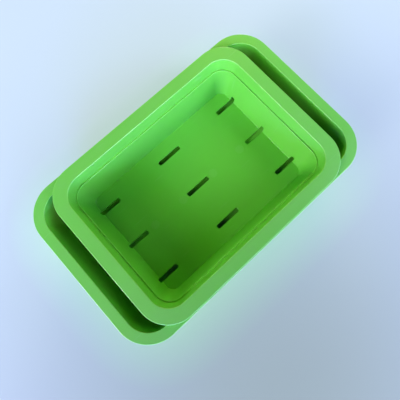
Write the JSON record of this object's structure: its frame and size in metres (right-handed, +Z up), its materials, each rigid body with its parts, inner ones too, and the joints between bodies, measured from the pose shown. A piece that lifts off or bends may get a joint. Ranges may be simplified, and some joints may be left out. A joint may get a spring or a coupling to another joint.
{
  "type": "two-piece microgreens tray",
  "caption": "Rectangular growing tray with a slotted floor and a wide flat rim on a turned-down lip, hung in a longer water tray whose ends stay open as filling wells.",
  "frame": {"origin": "under the middle of the trays, on the plane that the water tray's foot rim stands on", "axes": "+X along the trays, +Y across them, +Z up"},
  "size_m": [0.3026, 0.1886, 0.066],
  "materials": {
    "growing_tray_plastic": "satin leaf-green injection-moulded plastic, slightly translucent at thin edges",
    "water_tray_plastic": "satin leaf-green injection-moulded plastic, slightly translucent at thin edges"
  },
  "bodies": {
    "root": {"growing_tray": "growing_tray_plastic", "water_tray": "water_tray_plastic"}
  },
  "joints": []
}
